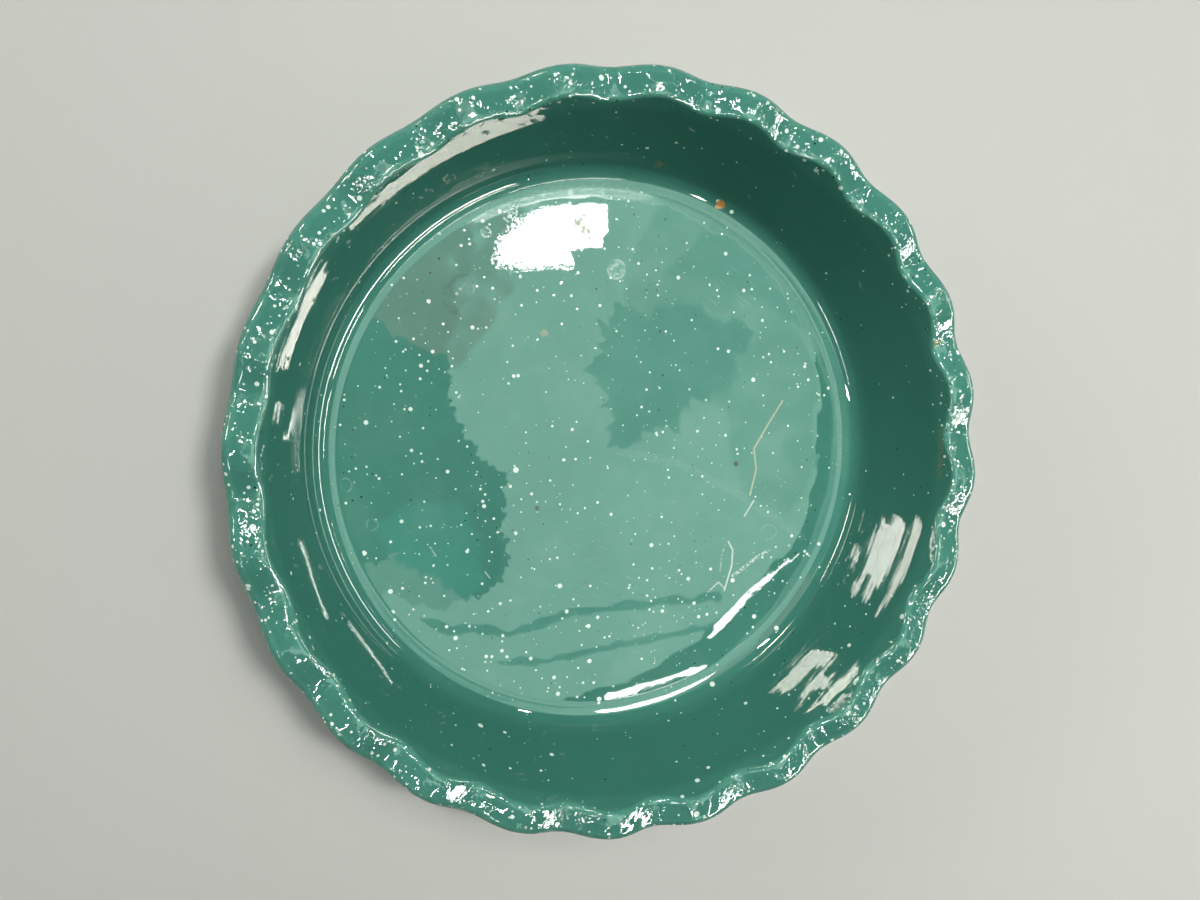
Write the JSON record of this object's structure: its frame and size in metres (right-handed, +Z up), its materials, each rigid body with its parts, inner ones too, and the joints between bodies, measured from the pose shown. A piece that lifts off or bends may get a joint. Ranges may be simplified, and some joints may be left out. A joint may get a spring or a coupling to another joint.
{
  "type": "pie dish",
  "caption": "Deep round stoneware pie dish with a wavy fluted lip, leaning walls, a rounded cove at the floor and a low foot ring.",
  "frame": {"origin": "centre of the foot ring's resting face, on the surface that the dish stands on", "axes": "+Z up along the dish's axis, +X through a crest of the lip"},
  "size_m": [0.2666, 0.2666, 0.0557],
  "materials": {
    "glazed_stoneware": "glossy teal-green glaze with fine pale and dark specks, worn thin on the lip, and bare clay on the foot ring"
  },
  "bodies": {
    "root": {"stoneware_dish": "glazed_stoneware"}
  },
  "joints": []
}
